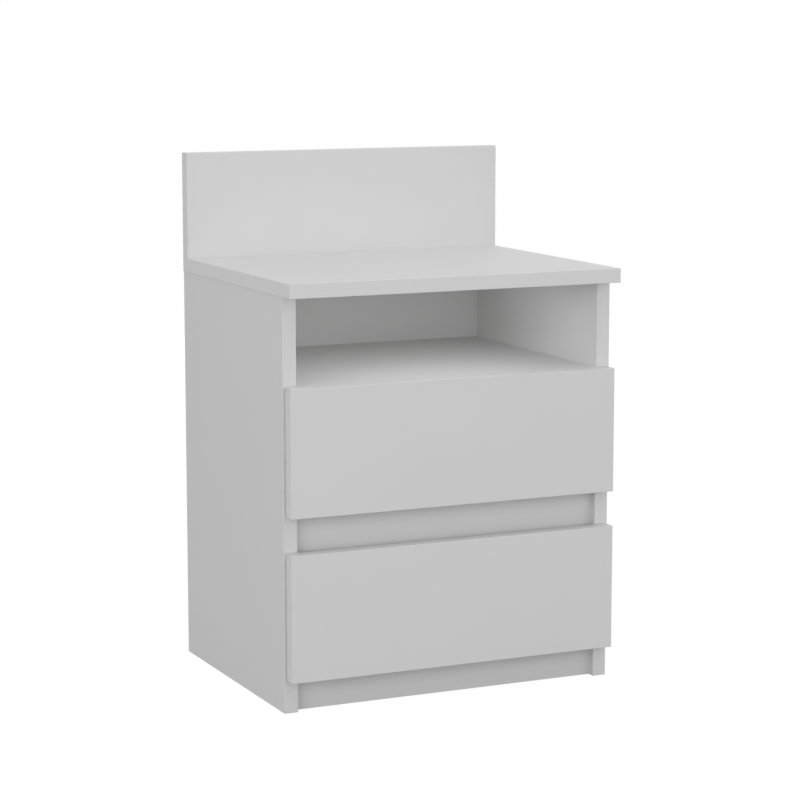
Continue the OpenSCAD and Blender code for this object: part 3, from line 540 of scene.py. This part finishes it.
def turned_beech():
    """Beech with its short pores along X, the axis of most dowels."""
    material, tree, output = new_material("turned_beech")
    place = add(tree, "TexCoord").outputs["Object"]
    drawn = add(tree, "Mapping", {"Vector": place, "Scale": (PORE_STRETCH, 1.0, 1.0)})
    pores = add(tree, "TexNoise", {
        "Vector": drawn.outputs[0], "Scale": per_mm(PORE_MM), "Detail": 3.0})
    colour = add(tree, "Mix", {0: pores.outputs[0], COLOUR_A: linear(BEECH_PORE),
                               COLOUR_B: linear(BEECH_WOOD)}, data_type="RGBA")
    relief = add(tree, "Bump", {
        "Height": pores.outputs[0], "Distance": PORE_DEPTH_MM * MM, "Strength": 1.0})
    shader = add(tree, "BsdfPrincipled", {
        "Base Color": colour.outputs[COLOUR_OUT], "Roughness": 0.65, "IOR": 1.5,
        "Normal": relief.outputs[0]})
    tree.links.new(shader.outputs[0], output.inputs["Surface"])
    return material


BEECH = turned_beech()
print("wood", BEECH.name)

# %% [markdown]
# ## Finish each construction piece
#
# The record of the part names the material slot of each piece. Boards also need to know
# which way their faces look, so that is read from the piece itself: the thinnest side of
# its box. The sides and backs of the drawer boxes are the boards with papered upper edges.

# %% Assign the materials
SLOTS = {part["node"]: part["material_slot"] for part in frame["record"]["subparts"]}
BOX_ENDINGS = ("drawer_left_side", "drawer_right_side", "drawer_back")
PLAIN = {
    "abs_edge_band": BAND,
    "coated_runner_steel": RUNNER,
    "zinc_plated_steel": ZINC_PLATE,
    "zinc_die_cast": ZINC_CAST,
    "beech": BEECH,
    "nylon": NYLON,
    "white_polypropylene": BLOCK,
}


def thin_axis(name):
    """The axis along which a piece is thinnest."""
    low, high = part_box(name)
    size = high - low
    return "XYZ"[min(range(3), key=lambda i: size[i])]


def finish_for(name):
    """The material that suits a piece."""
    slot = SLOTS[name]
    if slot == "laminated_chipboard":
        kinds = BOX_BOARDS if name.endswith(BOX_ENDINGS) else BOARDS
        return kinds[thin_axis(name)]
    if slot == "painted_fibreboard":
        return BACK if thin_axis(name) == "Y" else BOTTOM
    return PLAIN[slot]


for name, node in nodes.items():
    node.data.materials.clear()
    node.data.materials.append(finish_for(name))
print("finished", len(nodes), "pieces")

# %% [markdown]
# ## The small fittings
#
# Screws, nails, bolts, dowels and cam locks are standard parts. The construction model holds
# each as a plain solid at its exact place. Here each kind is modelled once, in detail, and
# a copy goes to every place. All of it is done in edit mode, as by hand, so the first tools
# select a piece, open its mesh with nothing selected, and close it with its faces outwards.

# %% Select and edit
WELD = 0.002 * MM  # corners closer than this are one corner


def pick(*pieces):
    """Selects these pieces and nothing else, with the first one active."""
    bpy.ops.object.select_all(action="DESELECT")
    for piece in pieces:
        piece.select_set(True)
    bpy.context.view_layer.objects.active = pieces[0]


def open_mesh(piece, kind="VERT"):
    """Opens a piece in edit mode with nothing selected."""
    pick(piece)
    bpy.ops.object.mode_set(mode="EDIT")
    bpy.ops.mesh.select_mode(type=kind)
    bpy.ops.mesh.select_all(action="DESELECT")


def close_mesh():
    """Turns all faces outwards and goes back to object mode."""
    bpy.ops.mesh.select_all(action="SELECT")
    bpy.ops.mesh.normals_make_consistent(inside=False)
    bpy.ops.object.mode_set(mode="OBJECT")


def merged_copy(name):
    """A copy of a CAD piece whose loose triangles are joined at their corners."""
    copy = bpy.data.objects.new(name, nodes[name].data.copy())
    bpy.context.scene.collection.objects.link(copy)
    open_mesh(copy)
    bpy.ops.mesh.customdata_custom_splitnormals_clear()
    bpy.ops.mesh.select_all(action="SELECT")
    bpy.ops.mesh.remove_doubles(threshold=WELD)
    bpy.ops.object.mode_set(mode="OBJECT")
    return copy


print("corners closer than", round(WELD / MM, 3), "mm are merged")

# %% [markdown]
# ## Where each fitting sits
#
# The place of a fitting is read from its plain solid, which Separate by Loose Parts sets
# apart from the others of its node. A turned part is as wide as it is deep, so the odd size
# out gives its axis. Its head has more corners than its tip, so the crowded end is the head.

# %% Find the places
END_SHARE = 0.2  # the part of the length that counts as an end


def solids(name):
    """The separate solids of a CAD piece, each as an array of its corners."""
    pick(merged_copy(name))
    bpy.ops.mesh.separate(type="LOOSE")
    parts = list(bpy.context.selected_objects)
    corners = [np.array([v.co for v in part.data.vertices]) for part in parts]
    for part in parts:
        bpy.data.objects.remove(part)
    return corners


def seats(name):
    """For each solid of a CAD piece: the middle of its head and the way that the head looks."""
    found = []
    for corners in solids(name):
        low, high = corners.min(0), corners.max(0)
        size = high - low
        axis = max(range(3), key=lambda i: abs(size[i] - np.delete(size, i).mean()))
        share = (corners[:, axis] - low[axis]) / size[axis]
        up = (share > 1 - END_SHARE).sum() > (share < END_SHARE).sum()
        head, way = Vector((low + high) / 2), Vector((0, 0, 0))
        head[axis] = high[axis] if up else low[axis]
        way[axis] = 1 if up else -1
        found.append((head, way))
    return found


def turned_to(head, way, side):
    """The matrix that puts a model, head up at the origin, on a seat with its X side turned."""
    z = way.normalized()
    x = (side - z * side.dot(z)).normalized()
    y = z.cross(x)
    return Matrix.Translation(head) @ Matrix((x, y, z)).transposed().to_4x4()


print(sum(len(solids(name)) for name in nodes if name.endswith("nails")), "nails found")

# %% [markdown]
# ## Turned shapes
#
# A lathe makes all of these, so they start as a disc that is extruded ring by ring: each
# ring is pushed along the axis and scaled to its radius. Extruding keeps the wall one clean
# grid of faces, which shades better than discs and cones that are stacked.


# %% Turn a solid
def turned(name, rings, sides=32):
    """A solid turned on Z, from rings of (radius, height) in millimetres, bottom first."""
    (radius, height), *others = rings
    bpy.ops.object.select_all(action="DESELECT")
    bpy.ops.mesh.primitive_circle_add(vertices=sides, radius=radius * MM, fill_type="NGON",
                                      location=(0, 0, height * MM))
    piece = bpy.context.object
    piece.name = name
    bpy.ops.object.transform_apply(location=True, rotation=True, scale=True)
    bpy.ops.object.mode_set(mode="EDIT")
    for next_radius, next_height in others:
        rise = (next_height - height) * MM
        grow = next_radius / radius
        bpy.ops.mesh.extrude_region_move(TRANSFORM_OT_translate={"value": (0, 0, rise)})
        bpy.ops.transform.resize(value=(grow, grow, 1), center_override=(0, 0, next_height * MM))
        radius, height = next_radius, next_height
    close_mesh()
    return piece


def smooth(piece, degrees=35):
    """Shades a piece smoothly, apart from its sharper edges."""
    pick(piece)
    bpy.ops.object.shade_smooth_by_angle(angle=math.radians(degrees))
    return piece


print("shapes are turned from rings of radius and height")

# %% [markdown]
# ## Cuts
#
# A recess has the shape of the punch that presses it, so a cutter of that shape is made and
# taken away with a Boolean. The cutter of a cross recess is two crossed wedges.

# %% Combine and cut
WEDGE_TAPER = 0.55  # width at the foot of a wedge, as a share of its width at the face


def combine(piece, other, operation):
    """Cuts another solid from a piece, or adds it, and removes the other. The cut leaves
    corners a hair apart and faces with no width, so these are merged away."""
    modifier = piece.modifiers.new("combine", "BOOLEAN")
    modifier.operation, modifier.solver, modifier.use_self = operation, "EXACT", True
    modifier.object = other
    pick(piece)
    bpy.ops.object.modifier_apply(modifier=modifier.name)
    bpy.data.objects.remove(other)
    open_mesh(piece)
    bpy.ops.mesh.select_all(action="SELECT")
    bpy.ops.mesh.remove_doubles(threshold=WELD)
    bpy.ops.mesh.dissolve_degenerate(threshold=WELD)
    close_mesh()
    return piece


def cross_cutter(reach, width, depth):
    """Two crossed wedges that cut a cross recess down from the origin, in millimetres."""
    wedges = []
    for size in ((reach, width), (width, reach)):
        bpy.ops.object.select_all(action="DESELECT")
        bpy.ops.mesh.primitive_cube_add(size=MM)
        wedge = bpy.context.object
        wedge.scale = (size[0], size[1], 2 * depth)
        bpy.ops.object.transform_apply(scale=True)
        for corner in wedge.data.vertices:
            corner.select = corner.co.z < 0
        bpy.ops.object.mode_set(mode="EDIT")
        taper = (WEDGE_TAPER, WEDGE_TAPER, 1)
        bpy.ops.transform.resize(value=taper, center_override=(0, 0, -depth * MM))
        close_mesh()
        wedges.append(wedge)
    return combine(*wedges, "UNION")


print("a wedge narrows to", WEDGE_TAPER, "of its width")

# %% [markdown]
# ## Threads
#
# The ridge of a thread is a triangle swept up and round the core. The Screw modifier does
# that to an outline, and a Boolean then joins the ridge to its core. The triangle's root
# lies a little inside the core, so that the two solids cross cleanly.

# %% Wind a thread
ROOT_INSET = 0.15  # how deep the root lies in the core, in millimetres
ROOT_HALF_WIDTH = 0.42  # half the width of the root, as a share of the pitch


def thread(core, crest, bottom, top, pitch, sides=24):
    """A ridge wound up the Z axis: a triangle swept round, with its two ends run out."""
    turns = (top - bottom) / pitch
    root = core - ROOT_INSET
    rise = crest - root
    # A triangle of radius 1 is 1.5 from root to crest, and its middle lies a third of that up
    shape = (rise / 1.5, 1, ROOT_HALF_WIDTH * pitch / math.cos(math.pi / 6))
    bpy.ops.object.select_all(action="DESELECT")
    bpy.ops.mesh.primitive_circle_add(vertices=3, radius=MM, fill_type="NOTHING",
                                      rotation=(-math.pi / 2, -math.pi / 2, 0))
    ridge = bpy.context.object
    bpy.ops.object.transform_apply(rotation=True)
    bpy.ops.object.mode_set(mode="EDIT")
    bpy.ops.mesh.select_all(action="SELECT")
    bpy.ops.transform.resize(value=shape, center_override=(0, 0, 0))
    bpy.ops.transform.translate(value=((root + rise / 3) * MM, 0, bottom * MM))
    bpy.ops.object.mode_set(mode="OBJECT")
    winding = ridge.modifiers.new("winding", "SCREW")
    winding.angle = 2 * math.pi * turns
    winding.screw_offset = (top - bottom) * MM
    winding.steps = winding.render_steps = round(sides * turns)
    winding.use_smooth_shade = False
    bpy.ops.object.modifier_apply(modifier=winding.name)
    # Only the triangles at the two ends are open, and each is drawn together to a point
    open_mesh(ridge, "EDGE")
    bpy.ops.mesh.select_non_manifold()
    bpy.ops.mesh.edge_collapse()
    # A twisted quad can be cut two ways, so it is cut here, the same way each time
    bpy.ops.mesh.select_all(action="SELECT")
    bpy.ops.mesh.quads_convert_to_tris(quad_method="FIXED")
    close_mesh()
    return ridge


print("a thread's root is", 2 * ROOT_HALF_WIDTH, "of its pitch wide")

# %% [markdown]
# ## Put copies in place
#
# The copies of one kind are joined into one piece for each CAD piece that they stand for.
# Screws end at any turn in real life, so each is turned on by the golden angle, which
# never lines up with itself.

# %% Place and hand over
GOLDEN_TURN = math.radians(137.5)
BODY = {name: body for body, names in frame["record"]["behaviour"]["bodies"].items()
        for name in names}


def hand_over(piece, name):
    """Gives a finished piece its material, body and slot, and hides the CAD piece."""
    piece.data.materials.clear()
    piece.data.materials.append(finish_for(name))
    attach(piece, BODY[name])
    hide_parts(name)


def place_copies(model, name, matrices):
    """Puts a copy of the model at each matrix and joins them into the piece for a CAD piece."""
    copies = []
    for matrix in matrices:
        copy = bpy.data.objects.new("detailed_" + name, model.data.copy())
        copy.data.transform(matrix)
        bpy.context.scene.collection.objects.link(copy)
        copies.append(copy)
    pick(*copies)
    if len(copies) > 1:
        bpy.ops.object.join()
    hand_over(copies[0], name)
    print(name, len(matrices), "copies,", len(copies[0].data.polygons), "faces")


def place_at_any_turn(model, name):
    """Puts a copy at each seat of a CAD piece, each turned on by the golden angle."""
    matrices = []
    for i, (head, way) in enumerate(seats(name)):
        side = way.orthogonal()
        side.rotate(Matrix.Rotation(i * GOLDEN_TURN, 3, way))
        matrices.append(turned_to(head, way, side))
    place_copies(model, name, matrices)


print(len(BODY), "pieces know their body")

# %% [markdown]
# ## Screws
#
# Runners are held by thick system screws in the cabinet sides and by thin wood screws under
# the drawer sides. Others hold the corner blocks, and long ones with a countersunk head hold
# the drawer backs. All are cold headed, so their heads are round and smooth with a pressed
# cross, and their threads are rolled, which leaves a sharp crest above a thinner core.

# %% Model the runner screws
DRAWERS = ("upper_drawer", "lower_drawer")
PAN_HEAD = ((3.5, -0.9), (3.5, -0.7), (3.35, -0.35), (3.05, -0.08), (2.75, 0))


def screw(name, head, shank, tip, winding, recess):
    """A screw with its head at the origin. Tip, shank and head are rings for turned(),
    winding is what thread() takes, and recess is what cross_cutter() takes."""
    body = turned(name, (*tip, *shank, *head))
    combine(body, thread(**winding), "UNION")
    combine(body, cross_cutter(**recess), "DIFFERENCE")
    return smooth(body)


system_screw = screw(
    "system_screw",
    head=PAN_HEAD,
    shank=((2.3, -11.2), (2.3, -1.6), (2.9, -0.9)),
    tip=((1.5, -11.9),),
    winding=dict(core=2.3, crest=3.0, bottom=-10.9, top=-1.6, pitch=2.0),
    recess=dict(reach=4.4, width=1.0, depth=1.1))
place_at_any_turn(system_screw, "cabinet_runner_screws")

flange_screw = screw(
    "flange_screw",
    head=PAN_HEAD,
    shank=((1.15, -12.6), (1.15, -1.8), (1.6, -0.9)),
    tip=((0.12, -14.9),),
    winding=dict(core=1.15, crest=1.75, bottom=-13.4, top=-1.9, pitch=1.5),
    recess=dict(reach=3.8, width=0.8, depth=0.8))
for drawer in DRAWERS:
    place_at_any_turn(flange_screw, drawer + "_runner_screws")

# %% Model the block screws and the back screws
block_screw = screw(
    "block_screw",
    head=((3.5, -1.8), (3.5, -1.5), (3.25, -0.9), (2.6, -0.3), (1.7, 0)),
    shank=((1.15, -11.6), (1.15, -2.6), (1.6, -1.8)),
    tip=((0.12, -13.8),),
    winding=dict(core=1.15, crest=1.75, bottom=-12.3, top=-2.8, pitch=1.5),
    recess=dict(reach=3.6, width=0.8, depth=1.3))
place_at_any_turn(block_screw, "corner_block_screws")

back_screw = screw(
    "back_screw",
    head=((3.7, -0.15), (3.8, -0.05), (3.6, 0)),
    shank=((1.35, -33.4), (1.35, -13.0), (1.9, -12.4), (1.9, -2.0)),
    tip=((0.12, -36),),
    winding=dict(core=1.35, crest=2.0, bottom=-34.2, top=-14.2, pitch=2.0),
    recess=dict(reach=4.6, width=1.0, depth=1.9))
for drawer in DRAWERS:
    place_at_any_turn(back_screw, drawer + "_back_screws")

# %% [markdown]
# ## Nails and rivets
#
# Panel pins hold the hardboard. Their heads are pressed discs, a little domed, and their
# points are cut to a cone. The rollers turn on rivets with low round heads, which a punch
# has marked with a dimple in the middle. Turning makes both whole, with nothing to cut.


# %% Model the nails
def nail(name, length):
    """A panel pin whose shank and head make up this length in millimetres."""
    return smooth(turned(name, (
        (0.08, -length), (0.8, -length + 2.2), (0.8, -1.0), (2.1, -1.0), (2.25, -0.85),
        (2.25, -0.55), (2.0, -0.2), (1.3, 0)), sides=20))


back_pin = nail("back_pin", 18)
place_at_any_turn(back_pin, "back_panel_nails")
bottom_pin = nail("bottom_pin", 21)
for drawer in DRAWERS:
    place_at_any_turn(bottom_pin, drawer + "_bottom_nails")


# %% Model the rivets
def rivet(name, length):
    """A rivet with a low head, a dimple in it, and a pressed end."""
    return smooth(turned(name, (
        (2.1, -length), (2.5, -length + 0.4), (2.5, -0.8), (3.85, -0.8), (4.0, -0.7),
        (3.95, -0.5), (3.5, -0.2), (2.6, 0), (1.3, 0), (0.9, -0.3), (0.3, -0.4))))


front_rivet = rivet("front_rivet", 9.8)
place_at_any_turn(front_rivet, "front_roller_rivets")
rear_rivet = rivet("rear_rivet", 10.1)
for drawer in DRAWERS:
    place_at_any_turn(rear_rivet, drawer + "_roller_rivets")

# %% [markdown]
# ## Dowels
#
# A fluted dowel is pressed through a toothed ring, which leaves straight grooves that let
# air and glue out of the hole. Its ends are chamfered. It is turned with three sides for
# each groove, and the corners along every third side are then drawn in.

# %% Model the dowels
FLUTES, SIDES_PER_FLUTE = 16, 3
FLUTE_SCALE = 0.92  # radius at the bottom of a groove, as a share of the dowel's radius


def fluted_dowel(name, diameter, length):
    """A dowel of these sizes in millimetres, with a groove at every third side."""
    radius, tip, sides = diameter / 2, diameter / 8, SIDES_PER_FLUTE * FLUTES
    dowel = turned(name, ((radius - tip, -length), (radius, -length + tip), (radius, -tip),
                          (radius - tip, 0)), sides=sides)
    for corner in dowel.data.vertices:
        step = round(math.atan2(corner.co.y, corner.co.x) / (2 * math.pi) * sides)
        on_wall = corner.co.xy.length > (radius - 0.1) * MM
        corner.select = on_wall and step % SIDES_PER_FLUTE == 0
    for item in (*dowel.data.edges, *dowel.data.polygons):
        item.select = False
    pick(dowel)
    bpy.ops.object.mode_set(mode="EDIT")
    bpy.ops.transform.resize(value=(FLUTE_SCALE, FLUTE_SCALE, 1), center_override=(0, 0, 0))
    close_mesh()
    return smooth(dowel, degrees=20)


carcass_dowel = fluted_dowel("carcass_dowel", diameter=8, length=30)
place_at_any_turn(carcass_dowel, "carcass_dowels")
drawer_dowel = fluted_dowel("drawer_dowel", diameter=6, length=25)
for drawer in DRAWERS:
    place_at_any_turn(drawer_dowel, drawer + "_dowels")

# %% [markdown]
# ## Cam locks
#
# These join the boards. A bolt is screwed into one board and its ball head reaches into the
# other, where the cam lock, a cast drum with a hollow, grips it when it is turned. The cast
# face has a cross slot, and an arrow that shows which way the hollow opens. The hollow is
# one cutter, made of an upright and a lying cylinder, so that one Boolean opens the drum.


# %% Model the cam locks
def cam_lock(name, diameter, middle):
    """A drum for a board whose middle lies this deep, opening towards X, in millimetres."""
    radius, depth = diameter / 2, middle + 0.3 * diameter
    hollow = 0.62 * diameter
    mouth = 0.85 * hollow
    drum = turned(name, ((radius - 0.5, -depth), (radius, -depth + 0.5), (radius, -0.3),
                         (radius - 0.3, 0)), sides=40)
    room = turned("room", ((hollow / 2, -middle - mouth / 2), (hollow / 2, -middle + mouth / 2)))
    bpy.ops.object.select_all(action="DESELECT")
    bpy.ops.mesh.primitive_cylinder_add(
        vertices=28, radius=mouth / 2 * MM, depth=diameter * MM, rotation=(0, math.pi / 2, 0),
        location=(radius * MM, 0, -middle * MM))
    combine(room, bpy.context.object, "UNION")
    combine(drum, room, "DIFFERENCE")
    combine(drum, cross_cutter(reach=0.55 * diameter, width=1.5, depth=1.6), "DIFFERENCE")
    bpy.ops.object.select_all(action="DESELECT")
    bpy.ops.mesh.primitive_cylinder_add(
        vertices=3, radius=0.09 * diameter * MM, depth=0.8 * MM, rotation=(0, 0, -math.pi / 2),
        location=(0.36 * diameter * MM, 0, 0))
    combine(drum, bpy.context.object, "DIFFERENCE")
    return smooth(drum)


carcass_lock = cam_lock("carcass_lock", diameter=15, middle=8)
drawer_lock = cam_lock("drawer_lock", diameter=12, middle=6)
for lock in (carcass_lock, drawer_lock):
    print(lock.name, len(lock.data.polygons), "faces")

# %% [markdown]
# ## Cam bolts
#
# A cam bolt is turned from bar: a thread for the board, a collar that stops it, a plain
# shank, a neck and a ball head with a small cross recess. The neck and the head are shares
# of the ball's size, so one function makes both of the sizes that are used.


# %% Model the cam bolts
def cam_bolt(name, shank, head, winding, reach):
    """A bolt with these diameters of shank, head and thread, and with this reach from its
    collar to the widest ring of its ball, in millimetres."""
    crown = head / 6  # height of the domed top above the ball's widest ring
    collar = -reach - crown  # the face of the collar that looks to the head
    tip = collar - 10.0
    radius, ball, crest = shank / 2, head / 2, winding / 2
    core = 0.7 * crest
    bolt = turned(name, (
        (core - 0.5, tip), (core, tip + 0.8), (core, collar - 1.2), (crest, collar - 1.0),
        (crest, collar), (radius, collar), (radius, -2.1 * ball - crown),
        (0.72 * radius, -1.8 * ball - crown), (0.72 * radius, -1.0 * ball - crown),
        (0.8 * ball, -0.65 * ball - crown), (ball, -0.3 * ball - crown), (ball, -crown),
        (0.9 * ball, -0.3 * crown), (0.65 * ball, 0)))
    ridge = thread(core, crest, bottom=tip + 0.9, top=collar - 1.4, pitch=2.4)
    combine(bolt, ridge, "UNION")
    combine(bolt, cross_cutter(reach=0.55 * head, width=0.8, depth=1.0), "DIFFERENCE")
    return smooth(bolt)


carcass_bolt = cam_bolt("carcass_bolt", shank=5, head=7, winding=7, reach=34)
drawer_bolt = cam_bolt("drawer_bolt", shank=4, head=5.5, winding=5, reach=24)
for bolt in (carcass_bolt, drawer_bolt):
    print(bolt.name, len(bolt.data.polygons), "faces")

# %% [markdown]
# ## Locks that face their bolts
#
# A cam lock grips its bolt only when its mouth looks to it. Each lock is therefore turned
# to the nearest bolt, and each bolt may stand at any turn.

# %% Place the cam locks and bolts
FITTINGS = {"carcass": (carcass_lock, carcass_bolt), "upper_drawer": (drawer_lock, drawer_bolt),
            "lower_drawer": (drawer_lock, drawer_bolt)}


def place_facing(model, name, partner):
    """Puts a copy at each seat of a CAD piece, its X side turned to the nearest partner."""
    middles = [Vector(corners.mean(0)) for corners in solids(partner)]
    matrices = []
    for head, way in seats(name):
        near = min(middles, key=lambda middle: (middle - head).length)
        matrices.append(turned_to(head, way, near - head))
    place_copies(model, name, matrices)


for body, (lock, bolt) in FITTINGS.items():
    place_facing(lock, body + "_cam_locks", body + "_cam_bolts")
    place_at_any_turn(bolt, body + "_cam_bolts")

# %% [markdown]
# ## Soften the corner blocks
#
# The corner blocks come from a mould whose edges are rounded all over. Their shape is right
# in the construction model, so a copy of it is enough: its flat sides are made single faces
# again, and a Bevel modifier rounds every edge that is sharper than a curve's facets.

# %% Round the corner blocks
MOULD_RADIUS_MM = 0.4
FLAT_ANGLE = math.radians(1)  # faces that differ by less are one flat side
EDGE_ANGLE = math.radians(40)  # more than the facets of a curve differ by

blocks = merged_copy("corner_blocks")
blocks.name = "detailed_corner_blocks"
pick(blocks)
bpy.ops.object.mode_set(mode="EDIT")
bpy.ops.mesh.select_all(action="SELECT")
bpy.ops.mesh.dissolve_limited(angle_limit=FLAT_ANGLE)
bpy.ops.object.mode_set(mode="OBJECT")
rounding = blocks.modifiers.new("rounding", "BEVEL")
rounding.width, rounding.segments = MOULD_RADIUS_MM * MM, 2
rounding.limit_method, rounding.angle_limit = "ANGLE", EDGE_ANGLE
bpy.ops.object.modifier_apply(modifier=rounding.name)
smooth(blocks)
hand_over(blocks, "corner_blocks")
print("corner blocks", len(blocks.data.polygons), "faces")

# %% [markdown]
# ## Put the models away
#
# Each fitting was modelled once, and only its copies belong to the nightstand. A model that
# has served rides on no body, and that tells it from everything that stays.

# %% Put the models away
models = [piece for piece in bpy.context.scene.objects
          if piece.type == "MESH" and "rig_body" not in piece and piece is not floor]
print("put away", len(models), "models")
for model in models:
    bpy.data.objects.remove(model)
